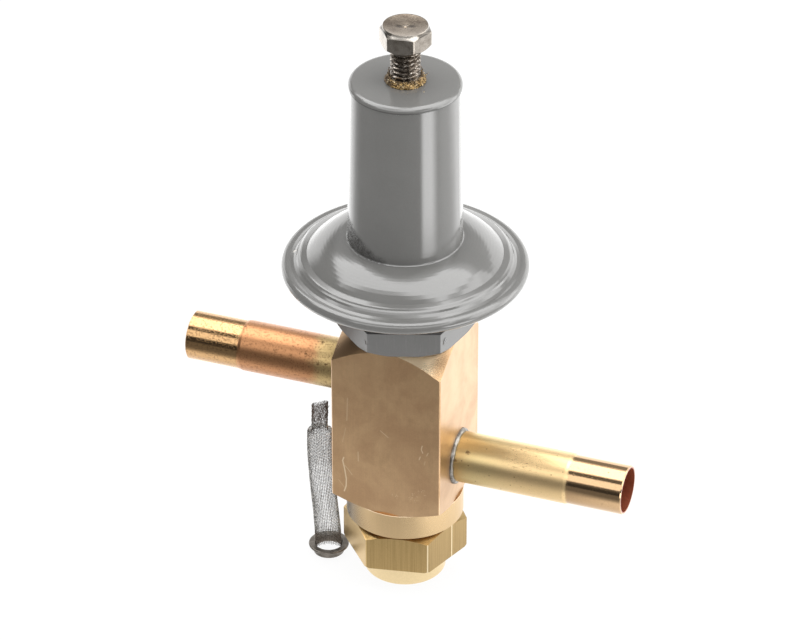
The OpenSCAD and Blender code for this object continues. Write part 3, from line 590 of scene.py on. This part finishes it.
# Each finish: its recipe with the recipe's values, and the nodes that wear it
finishPlan = {
    "brassBody": ((brushedBrass, bodyBrass), ["body"]),
    "brassCap": ((capFinish, capBrass), ["bottom_cap"]),
    "copperInlet": ((stubFinish, stubCopper, "inlet"), ["inlet_tube"]),
    "copperOutlet": ((stubFinish, stubCopper, "outlet"), ["outlet_tube"]),
    "enamel": ((enamelFinish, enamelGrey), ["bonnet"]),
    "housingPaint": ((housingFinish, housingGrey), ["lower_housing"]),
    "silverBraze": ((metalFinish, (0.27, 0.25, 0.225), (0.12, 0.105, 0.09), 0.34, 1.6),
                    ["inlet_braze_ring", "outlet_braze_ring"]),
    "innerBrass": ((metalFinish, (0.46, 0.34, 0.18), (0.36, 0.26, 0.13), 0.32),
                   ["stem_guide", "valve_plug", "seal_nut", "screw_bush"]),
    "zincSteel": ((metalFinish, (0.40, 0.40, 0.39), (0.30, 0.30, 0.29), 0.35),
                  ["thrust_plate", "buffer_plate", "upper_spring_seat", "push_rod", "seat_ring"]),
    "springSteel": ((metalFinish, (0.26, 0.26, 0.27), (0.15, 0.15, 0.16), 0.34),
                    ["range_spring", "closing_spring"]),
    "ballSteel": ((metalFinish, (0.45, 0.45, 0.45), (0.39, 0.39, 0.39), 0.12), ["thrust_ball"]),
    "thinSteel": ((metalFinish, (0.37, 0.375, 0.38), (0.29, 0.295, 0.30), 0.28), ["diaphragm"]),
    "ringSteel": ((metalFinish, (0.19, 0.17, 0.15), (0.10, 0.09, 0.075), 0.36, 1.2),
                  ["strainer_ring", "strainer_sock"]),
    "greyFibre": ((fibreFinish, (0.20, 0.20, 0.20), (0.10, 0.10, 0.10)),
                  ["housing_gasket", "diaphragm_gasket"]),
    "redFibre": ((fibreFinish, (0.34, 0.16, 0.08), (0.20, 0.09, 0.05)), ["cap_gasket"]),
    "softDisc": ((fibreFinish, (0.05, 0.05, 0.05), (0.025, 0.025, 0.025)), ["seal_disc"]),
    "screwHead": ((headFinish, screwSteel), ["adjusting_screw"]),
    "grittyBrass": ((grittyFinish, grittyBrass), []),
    "sockWire": ((sockFinish, sockWire), []),
}
finishes = {}
for finishName, (finishRecipe, wearers) in finishPlan.items():
    finishes[finishName] = newFinish(finishName, *finishRecipe)
    dress(wearers, finishes[finishName])
print("finishes made")


# Point on a circle around the upright axis
def around(radius, turn, height=0.0):
    return radius * math.cos(turn), radius * math.sin(turn), height


# Surface from rows of points that run around an axis; as a ring its last row joins the first
def gridPiece(name, rows, ring=False, sharp=35):
    wide, high = len(rows[0]), len(rows)
    faces = []
    for i in range(high if ring else high - 1):
        low, up = i * wide, (i + 1) % high * wide
        faces += [(low + j, low + (j + 1) % wide, up + (j + 1) % wide, up + j) for j in range(wide)]
    if not ring:
        faces.append(tuple(reversed(range(wide))))
        faces.append(tuple((high - 1) * wide + j for j in range(wide)))
    return meshPiece(name, [point for row in rows for point in row], faces, sharp)


def meshPiece(name, points, faces, sharp=35):
    mesh = bpy.data.meshes.new(name)
    mesh.from_pydata([tuple(value * mm for value in point) for point in points], [], faces)
    mesh.polygons.foreach_set("use_smooth", [True] * len(mesh.polygons))
    mesh.set_sharp_from_angle(angle=math.radians(sharp))
    return newObject(name, mesh)


# Adjusting screw: turned hex head with a shallow dish, plain neck, and a 3/8 in thread of 16 turns per inch
screwForm = {
    "flats": 14.2, "headTurn": 8.0, "headHigh": 6.7, "pitch": 1.5875, "major": 4.68, "threadDeep": 0.86,
    "neck": 4.35, "neckLong": 1.6, "tipLow": 157.1, "rowsPerTurn": 12, "cornerCut": 0.13,
    "dishDeep": 0.52, "pitDeep": 0.16, "pitRadius": 1.6, "nubHigh": 0.34, "nubRadius": 0.55,
    "toolDeep": 0.012,
    # Turns of the columns within one side of the hexagon, closer by its corners
    "sector": [0, 0.6, 1.2, 1.9, 3.5, 7, 11, 15.5, 20, 25, 30, 35, 40, 44.5, 49, 53, 56.5, 58.1, 58.8, 59.4],
}


def screwPiece(cfg):
    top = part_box("adjusting_screw")[1].z / mm
    low = top - cfg["headHigh"]
    inRadius = cfg["flats"] / 2
    corner = inRadius / math.cos(math.radians(30))
    turns = [cfg["headTurn"] + 60 * side + step for side in range(6) for step in cfg["sector"]]

    def hexRadius(turn):
        inSector = (turn - cfg["headTurn"]) % 60 - 30
        return min(inRadius / math.cos(math.radians(inSector)), corner - cfg["cornerCut"])

    def threadRadius(turn, height):
        phase = (height / cfg["pitch"] - turn / 360) % 1
        slope = 1 - abs(2 * phase - 1)
        cut = min(1, max(0, (slope - 0.12) / 0.66))
        fade = min(1, max(0, (low - cfg["neckLong"] - height) / 0.8)) * min(1, (height - cfg["tipLow"]) / 1.2)
        dent = noise.noise(Vector((turn / 14, height * 1.3, 3))) * 0.03
        return cfg["major"] - cfg["threadDeep"] * cut * fade + min(0, dent)

    def row(height, radiusAt):
        return [around(radiusAt(turn), math.radians(turn), height) for turn in turns]

    rows = [row(cfg["tipLow"], lambda turn: 3.4), row(cfg["tipLow"] + 0.1, lambda turn: 3.6)]
    step = cfg["pitch"] / cfg["rowsPerTurn"]
    height = cfg["tipLow"] + 0.3
    while height < low - cfg["neckLong"]:
        rows.append(row(height, lambda turn: min(threadRadius(turn, height), 3.7 + height - cfg["tipLow"])))
        height += step
    for drop in (cfg["neckLong"] - 0.05, cfg["neckLong"] - 0.4, 0.35, 0.1):
        rows.append(row(low - drop, lambda turn: cfg["neck"] + (0.25 if drop < 0.2 else 0)))
    rows.append(row(low, lambda turn: cfg["neck"] + 0.5))
    rows.append(row(low, lambda turn: inRadius - 0.4))
    for k in range(13):
        rise = 1.2 * k / 12
        rows.append(row(low + rise, lambda turn: min(hexRadius(turn), inRadius - 0.1 + rise * 1.25)))
    for share in (0.3, 0.6, 0.9):
        rows.append(row(low + 1.2 + (cfg["headHigh"] - 3.3) * share, hexRadius))
    # Turned chamfer over the corners, then the small round at the edge of the top
    past = corner + 0.1
    shoulder = [(1.95 - 0.06 * k, past - (past - inRadius + 0.02) * k / 19) for k in range(20)]
    shoulder += [(0.62, inRadius - 0.03), (0.42, inRadius - 0.06), (0.22, inRadius - 0.1),
                 (0.08, inRadius - 0.15), (0.01, inRadius - 0.22), (0.0, inRadius - 0.28)]
    for drop, limit in shoulder:
        rows.append(row(top - drop, lambda turn: min(hexRadius(turn), limit)))
    # Dish in the top, with a pit and a nub at its centre and the marks of the tool
    dishRadius = inRadius - 0.34
    for k in range(1, 41):
        away = dishRadius * (1 - k / 41)
        deep = cfg["dishDeep"] * (1 - (away / dishRadius)**2)**0.8
        deep += cfg["pitDeep"] * math.exp(-(away / cfg["pitRadius"])**2)
        deep -= cfg["nubHigh"] * math.exp(-(away / cfg["nubRadius"])**2)
        deep -= cfg["toolDeep"] * math.sin(away * 11)
        rows.append(row(top - deep, lambda turn: away))
    return gridPiece("screw_with_thread", rows, sharp=28)


screw = screwPiece(screwForm)
screw.data.materials.append(finishes["screwHead"])
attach(screw, "screw")
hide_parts("adjusting_screw")
print("screw made")


# Bush of the screw: its outer end is rough and crumbly, and crumbs of brass cling to it
bushForm = {
    "bore": 4.78, "outer": 6.0, "collar": 9.2, "collarLong": 6.45, "endHigh": 3.4, "columns": 150,
    "roughness": 0.42, "crumbs": 380, "crumbsHigh": 3.72, "crumbSwell": 1.62, "wisp": (5.2, 3.1),
    # Crumbly end, from its foot up and in to the bore: radius, height over the housing's top
    "crust": [(6.0, -0.3), (6.05, -0.05), (6.25, 0.10), (6.2, 0.35), (6.1, 0.6), (6.0, 0.85), (5.85, 1.1),
              (5.7, 1.35), (5.55, 1.6), (5.35, 1.85), (5.2, 2.05), (5.05, 2.15), (4.93, 2.1), (4.86, 1.8)],
    # Loose crumbs on the housing's top: place and size
    "strays": [(7.7, -4.9, 0.20), (6.7, -1.2, 0.12), (3.4, -7.6, 0.10), (5.6, -5.9, 0.13), (7.2, -3.2, 0.1)],
}


def crustRough(turn, share, seed, size):
    place = Vector(around(5.2, turn, share * 5 + seed))
    return (noise.noise(place * 1.6) * 0.55 + noise.noise(place * 4.3) * 0.45) * size


def bushPiece(cfg):
    low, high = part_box("screw_bush")
    foot, face = low.z / mm, high.z / mm - cfg["endHigh"]
    bore, collar, shoulder = cfg["bore"], cfg["collar"], foot + cfg["collarLong"]
    outline = [(bore, face + 1.6), (bore, foot + 0.3), (bore + 0.3, foot), (collar - 0.3, foot),
               (collar, foot + 0.3), (collar, shoulder), (cfg["outer"], shoulder)]
    plain = len(outline)
    outline += [(away, face + rise) for away, rise in cfg["crust"]]
    rows = []
    for index, (away, height) in enumerate(outline):
        share = max(0, index - plain) / len(cfg["crust"])
        rough = cfg["roughness"] * min(1, max(0, index - plain - 1) / 2) * (height > face)
        line = []
        for j in range(cfg["columns"]):
            turn = math.tau * j / cfg["columns"]
            radius = max(bore, away + crustRough(turn, share, 0, rough * 1.5))
            line.append(around(radius, turn, height + crustRough(turn, share, 40, rough * 1.3)))
        rows.append(line)
    return gridPiece("screw_bush_rough_end", rows, ring=True, sharp=25), face


# One crumb: a top, two rings of five corners and a bottom
crumbShape = [(0, 0, 1), (0.9, 0, 0.4), (0.3, 0.85, 0.35), (-0.75, 0.5, 0.4), (-0.7, -0.55, 0.3),
              (0.25, -0.85, 0.4), (0.7, 0.5, -0.4), (-0.3, 0.8, -0.4), (-0.85, 0, -0.4),
              (-0.25, -0.8, -0.35), (0.7, -0.5, -0.45), (0, 0, -1)]
crumbRing = [(k, (k + 1) % 5, (k + 4) % 5) for k in range(5)]
crumbFaces = [(0, 1 + k, 1 + after) for k, after, before in crumbRing]
crumbFaces += [(1 + k, 6 + k, 1 + after) for k, after, before in crumbRing]
crumbFaces += [(1 + k, 6 + before, 6 + k) for k, after, before in crumbRing]
crumbFaces += [(11, 6 + after, 6 + k) for k, after, before in crumbRing]


def addCrumb(points, faces, centre, size, picks):
    first = len(points)
    angle = picks.uniform(0, 6.28)
    axis = Vector((picks.gauss(0, 1), picks.gauss(0, 1), 1)).normalized()
    spin = Matrix.Rotation(angle, 3, axis)
    shape = Vector((picks.uniform(0.6, 1.4), picks.uniform(0.6, 1.4), picks.uniform(0.6, 1.4)))
    for corner in crumbShape:
        turned = spin @ (Vector(corner) * shape * size * picks.uniform(0.8, 1.15))
        points.append(tuple(Vector(centre) + turned))
    faces += [tuple(first + k for k in face) for face in crumbFaces]


def crumbPiece(cfg, face):
    picks = random.Random(11)
    points, faces = [], []
    crust = cfg["crust"][2:-2]
    for count in range(cfg["crumbs"]):
        turn = picks.uniform(0, math.tau)
        spot = picks.uniform(0, len(crust) - 1.01)
        size = picks.uniform(0.10, 0.26)
        index = int(spot)
        (away, rise), (nextAway, nextRise) = crust[index:index + 2]
        away += (nextAway - away) * (spot - index) + picks.uniform(-0.05, 0.25)
        rise += (nextRise - rise) * (spot - index) + picks.uniform(-0.1, 0.15)
        if count % 2:
            away = 4.9 + size + picks.uniform(0, 0.12)
            rise = picks.uniform(1.6, 4.4) * picks.uniform(0.6, 1)
        swell = size * cfg["crumbSwell"]
        away = max(away, cfg["bore"] + 0.06 + swell)  # clear of the thread at every height
        rise = min(rise, cfg["crumbsHigh"] - swell)  # and of the head when it is screwed right down
        addCrumb(points, faces, around(away, turn, face + max(rise, size)), size, picks)
    for across, deep, size in cfg["strays"]:
        addCrumb(points, faces, (across, deep, face + size * 0.7), size, picks)
    wispX, wispY = cfg["wisp"]
    for step in range(9):
        share = step / 8
        centre = (wispX + 1.5 * share, wispY + 0.7 * share - 0.5 * share**2, face + 1.0 + 1.3 * share)
        addCrumb(points, faces, centre, 0.20 * (1.1 - share), picks)
    return meshPiece("brass_crumbs", points, faces, 20)


bush, bushFace = bushPiece(bushForm)
bush.data.materials.append(finishes["grittyBrass"])
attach(bush, "root")
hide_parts("screw_bush")
crumbs = crumbPiece(bushForm, bushFace)
crumbs.data.materials.append(finishes["grittyBrass"])
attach(crumbs, "root")
print("bush made")


# Springs: coils as the CAD has them, copied into pieces of their own
springs = {
    "range_spring": {"piece": "range_spring_coil", "upperEnd": "spring_button"},
    "closing_spring": {"piece": "closing_spring_coil", "upperEnd": "valve_train"},
}


def springPiece(node, cfg):
    coil = newObject(cfg["piece"], bpy.data.objects[node].data.copy())
    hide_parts(node)
    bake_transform(coil)


for springNode, springSetup in springs.items():
    springPiece(springNode, springSetup)
print("springs made")


# Strainer: a sock of woven wire that stands in its ferrule, pinched into a dark crimp at the top
sockForm = {
    "spot": (-25.5, -2.0), "crimpTurn": 20.0, "low": 0.4, "top": 59.3,
    "lean": [0, 0.3, 1, 1.7, 2.4, 2.6, 2.6, 2.4],  # to the left, from the foot up
    "footRadius": 4.36, "radius": 4.15, "crimpHalf": 2.6, "pinchFrom": 0.78,
    "warps": 44, "wefts": 104, "wire": 0.072, "swing": 0.085, "loose": 70, "mouthHigh": 5.0,
}


def sockHeight(cfg, share):
    return cfg["low"] + (cfg["top"] - cfg["low"]) * share


def sockPoint(cfg, share, turn, out):
    lean = cfg["lean"]
    last = len(lean) - 1
    index = min(last - 1, int(share * last))
    part = share * last - index
    shift = lean[index] * (1 - part) + lean[index + 1] * part
    radius = cfg["footRadius"] + (cfg["radius"] - cfg["footRadius"]) * min(1, share / 0.3)
    pinch = max(0, min(1, (share - cfg["pinchFrom"]) / 0.05))
    ease = pinch * pinch * (3 - 2 * pinch)
    dent = noise.noise(Vector(around(1.5, turn, share * 6))) * 0.28 * min(1, share * 6)
    lobes = 0.62 + 0.5 * abs(math.cos(turn))
    rounded = (radius + min(0, dent)) * (1 - ease)
    wide = rounded + cfg["crimpHalf"] * ease
    tall = rounded + cfg["crimpHalf"] * 0.5 * lobes * ease
    across = (wide + out) * math.cos(turn) - shift
    deep = (tall + out) * math.sin(turn)
    height = sockHeight(cfg, share) + ease * (0.24 * (across - 2.9) - 0.9)
    fray = noise.noise_vector(Vector((across * 2.1, deep * 2.1, height * 1.7))) * (0.05 + 0.20 * ease)
    spotX, spotY = cfg["spot"]
    yaw = math.radians(cfg["crimpTurn"])
    return Vector((spotX + across * math.cos(yaw) + deep * math.sin(yaw),
                   spotY + across * math.sin(yaw) - deep * math.cos(yaw), height)) + fray


def sockOutward(cfg, turn):
    return Vector(around(1, math.radians(cfg["crimpTurn"]) - turn))


# The sock is torn away in front above its ferrule, and only short teeth of it are left there
def isTorn(cfg, share, turn):
    return sockHeight(cfg, share) < cfg["mouthHigh"] * max(0, math.sin(turn))


# Four-sided wire along a line of points, drawn round the sock's own outward direction
def addWire(points, faces, line, outward, radius, closed=False):
    first, count = len(points), len(line)
    for index, centre in enumerate(line):
        ahead = line[(index + 1) % count] if closed or index < count - 1 else centre
        behind = line[index - 1] if closed or index > 0 else centre
        along = (ahead - behind).normalized()
        out = outward[index]
        side = along.cross(out).normalized()
        up = side.cross(along)
        for across, rise in ((radius, 0), (0, radius), (-radius, 0), (0, -radius)):
            points.append(tuple(centre + side * across + up * rise))
    for index in range(count if closed else count - 1):
        low, high = first + index * 4, first + (index + 1) % count * 4
        faces += [(low + k, low + (k + 1) % 4, high + (k + 1) % 4, high + k) for k in range(4)]
    if not closed:
        faces.append(tuple(first + k for k in (3, 2, 1, 0)))
        faces.append(tuple(first + (count - 1) * 4 + k for k in range(4)))


def warpPiece(cfg):
    picks = random.Random(5)
    points, faces = [], []
    steps = 2 * cfg["wefts"]
    for warp in range(cfg["warps"]):
        turn = math.tau * warp / cfg["warps"]
        tooth = [sockPoint(cfg, share, turn, -0.1) for share in (0.004, 0.010 + 0.012 * picks.random())]
        addWire(points, faces, tooth, [Vector((0, -1, 0))] * 2, cfg["wire"])
        line = []
        for step in range(steps + 1):
            share = (step + picks.uniform(-0.12, 0.12) * (0 < step < steps)) / steps
            if not isTorn(cfg, share, turn):
                swing = cfg["swing"] * (0 if step % 2 else (1 if (step // 2 + warp) % 2 else -1))
                line.append(sockPoint(cfg, share, turn, swing - 0.1))
        addWire(points, faces, line, [sockOutward(cfg, turn)] * len(line), cfg["wire"])
    for count in range(cfg["loose"]):
        turn = picks.uniform(0, math.tau)
        start = sockPoint(cfg, picks.uniform(0.86, 0.985), turn, picks.uniform(-0.9, 0.15))
        drift = Vector((picks.gauss(0, 0.35), picks.gauss(0, 0.35), 1))
        long = picks.uniform(0.5, 1.6)
        line = [start + drift * long * part / 3 + Vector((picks.gauss(0, 0.06), picks.gauss(0, 0.06), 0))
                for part in range(4)]
        line = [Vector((x, y, min(z, cfg["top"] + 0.35))) for x, y, z in line]
        if line[-1].z - line[0].z > 0.3:
            addWire(points, faces, line, [Vector((1, 0, 0))] * 4, cfg["wire"])
    return meshPiece("strainer_sock_lengthwise_wires", points, faces, 180)


def weftPiece(cfg):
    points, faces = [], []
    count = 2 * cfg["warps"]
    for weft in range(1, cfg["wefts"]):
        share = weft / cfg["wefts"]
        line, outward = [], []
        for step in range(count // 4, count // 4 + count):
            turn = math.tau * step / count
            if not isTorn(cfg, share, turn):
                swing = cfg["swing"] * (0 if step % 2 else (-1 if (weft + step // 2) % 2 else 1))
                line.append(sockPoint(cfg, share, turn, swing - 0.1))
                outward.append(sockOutward(cfg, turn))
        closed = sockHeight(cfg, share) >= cfg["mouthHigh"]
        addWire(points, faces, line, outward, cfg["wire"], closed)
    return meshPiece("strainer_sock_crosswise_wires", points, faces, 180)


for sockPiece in (warpPiece(sockForm), weftPiece(sockForm)):
    sockPiece.data.materials.append(finishes["sockWire"])
    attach(sockPiece, "root")
    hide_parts("strainer_sock")
print("sock made")


# Braze metal: a lumpy bead in the corner of each stub and the body's face
brazeForm = {
    "stub": 8.17, "out": 0.98, "along": 1.05, "columns": 120, "sections": 9,
    "seeds": {"inlet": 3, "outlet": 8},
}


def brazePiece(cfg, name):
    axisHeight, side, seed = stubs[name]["axisHeight"], stubs[name]["side"], cfg["seeds"][name]
    turns = [math.tau * j / cfg["columns"] for j in range(cfg["columns"])]

    def beadPoint(turn, out, along):
        radius = cfg["stub"] + out
        return (side * (bodyBrass["halfWidth"] + along), radius * math.cos(turn) * side,
                axisHeight + radius * math.sin(turn))

    rows = []
    for k in range(cfg["sections"]):
        swing = math.pi / 2 * k / (cfg["sections"] - 1)
        atEnd = k in (0, cfg["sections"] - 1)
        line = []
        for turn in turns:
            place = Vector(around(2.2, turn, seed))
            lump = 1 + noise.noise(place) * 0.30 + noise.noise(place * 3.1) * 0.16
            fine = 0 if atEnd else noise.noise(Vector(around(14, turn, k * 0.9 + seed))) * 0.06
            out = cfg["out"] * lump * math.cos(swing) + fine
            along = cfg["along"] * lump * math.sin(swing) + fine
            line.append(beadPoint(turn, max(0.0, out), max(0.01, along)))
        rows.append(line)
    rows.append([beadPoint(turn, 0.0, 0.01) for turn in turns])
    return gridPiece(name + "_braze_bead", rows, ring=True, sharp=60)


for brazeName in stubs:
    bead = brazePiece(brazeForm, brazeName)
    bead.data.materials.append(finishes["silverBraze"])
    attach(bead, "root")
    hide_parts(brazeName + "_braze_ring")
print("braze made")


# Studio: white table and backdrop, a soft box overhead, and dimmer room in front of the table
studio = {
    "floorHalf": 4.0, "ambient": 0.84, "zenithGain": 0.35,
    "cameraShare": 0.93,  # of plain white in the floor as the camera sees it; the rest takes shadows
    # How bright the zones of the table look in the metal
    "sideFloor": 2.0, "frontFloor": 0.32, "backShine": 2.3, "rightDrop": 0.7, "leftGain": 0.4,
    "footShade": 0.24, "streakTone": 5.6,
    # And the zones of the room above it
    "tentTone": 1.8, "stripTone": 2.6, "middleTone": 0.55, "frontTone": 0.30, "roomTone": 0.09,
    # Lamps: place, aim, size and power
    "boxes": [
        ("overhead", (-0.10, 0.16, 1.00), (-0.10, 0.16, 0.0), (1.70, 0.90), 15.4),
        ("rightSide", (0.95, 0.30, 0.40), (0.0, 0.0, 0.10), (1.00, 1.10), 8.5),
    ],
}


# 1 for the camera's own rays, and 1 for those that a mirror or glass sends on
def seenRays(board):
    path = [board.add("ShaderNodeLightPath", out=out) for out in (0, 3, 6)]
    return path[0], board.larger(path[1], path[2])


def floorFinish(board, cfg):
    camera, mirrored = seenRays(board)
    x, y, z = board.parts(board.place())
    reach = board.reach(x, y)
    # Zones of the table, in millimetres from the valve's axis
    beside = board.rise(abs(x), 34.0, 60.0) * board.fall(abs(x), 115.0, 150.0) * board.rise(y, -95.0, -50.0)
    ahead = board.fall(y - board.rise(-x, 100.0, 200.0) * 100.0, -160.0, 60.0) * (1 - beside)
    behind = board.rise(y, 110.0, 230.0)
    farRight = board.rise(x, 110.0, 210.0) * (1 - behind) * (1 - ahead)
    farLeft = board.rise(-x, 130.0, 230.0) * board.rise(y, 20.0, 80.0)
    side = cfg["sideFloor"]
    shine = side + behind * (cfg["backShine"] - side) - ahead * (side - cfg["frontFloor"])
    shine = shine - farRight * cfg["rightDrop"] + farLeft * cfg["leftGain"]
    shine = shine * (1 - cfg["footShade"] * board.fall(reach, 45.0, 110.0))
    slant = -y / board.larger(x, 1.0)
    wedge = board.rise(slant, 0.02, 0.36) * board.fall(slant, 0.64, 0.88) * board.rise(x, 20.0, 40.0)
    streak = wedge * board.rise(reach, 212.0, 255.0) * board.fall(reach, 900.0, 1100.0)
    shine = shine + streak * (cfg["streakTone"] - shine)
    strength = 1 + mirrored * (shine - 1)
    glow = board.add("ShaderNodeEmission", None, {"Color": (1, 1, 1, 1), "Strength": strength})
    white = board.add("ShaderNodeBsdfDiffuse", None, {"Color": (0.93, 0.93, 0.93, 1)})
    share = camera * cfg["cameraShare"] + mirrored
    mixed = board.add("ShaderNodeMixShader", None, {0: share, 1: white, 2: glow})
    board.add("ShaderNodeOutputMaterial", None, {"Surface": mixed})


def layFloor(cfg):
    half = cfg["floorHalf"]
    mesh = bpy.data.meshes.new("floor")
    corners = [(-half, -half, 0), (half, -half, 0), (half, half, 0), (-half, half, 0)]
    mesh.from_pydata(corners, [], [(0, 1, 2, 3)])
    floor = newObject("floor", mesh)
    material = newFinish("floorWhite", floorFinish, cfg)
    material.cycles.emission_sampling = "NONE"
    mesh.materials.append(material)


def hangBoxes(cfg):
    for name, spot, aim, size, power in cfg["boxes"]:
        lamp = bpy.data.lights.new(name, "AREA")
        lamp.shape, lamp.size, lamp.size_y, lamp.energy = "RECTANGLE", size[0], size[1], power
        holder = newObject(name, lamp)
        holder.location = spot
        holder.rotation_euler = (Vector(aim) - Vector(spot)).to_track_quat("-Z", "Y").to_euler()
        holder.visible_camera = False


def setWorld(cfg):
    world = bpy.data.worlds.new("studioRoom")
    world.use_nodes = True
    board = Board(world.node_tree)
    camera, mirrored = seenRays(board)
    x, y, z = board.parts(board.add("ShaderNodeTexCoord", out=0))
    upward = board.larger(z, 0.02)
    lengthwise = y / upward  # how far back a ray goes for each step up
    onRight = board.rise(x / upward, -1.2, -0.8) * board.rise(z, 0.05, 0.15)
    tent = board.rise(lengthwise, -0.44, -0.36) * board.fall(lengthwise, 0.80, 1.0) * cfg["tentTone"]
    strip = board.rise(lengthwise, -2.6, -2.0) * board.fall(lengthwise, -0.82, -0.70) * cfg["stripTone"]
    front = board.fall(lengthwise, -0.50, -0.42) * cfg["frontTone"]
    middle = board.rise(lengthwise, 0.80, 1.0) * cfg["middleTone"]
    backdrop = board.rise(y, 0.22, 0.55) * board.fall(z, 0.34, 0.46) * cfg["backShine"]
    overhead = board.largest([tent, front, strip, middle]) * onRight
    mirror = board.largest([overhead, backdrop, cfg["roomTone"]])
    ambient = cfg["ambient"] * (1 + board.larger(z, 0.0) * cfg["zenithGain"])
    soft = ambient * (1 - mirrored) + mirror * mirrored
    level = camera + (1 - camera) * soft
    sky = board.add("ShaderNodeBackground", None, {"Color": (1, 1, 1, 1), "Strength": level})
    board.add("ShaderNodeOutputWorld", None, {"Surface": sky})
    bpy.context.scene.world = world


layFloor(studio)
hangBoxes(studio)
setWorld(studio)
bpy.context.scene.view_settings.view_transform = "Standard"
print("studio lit")
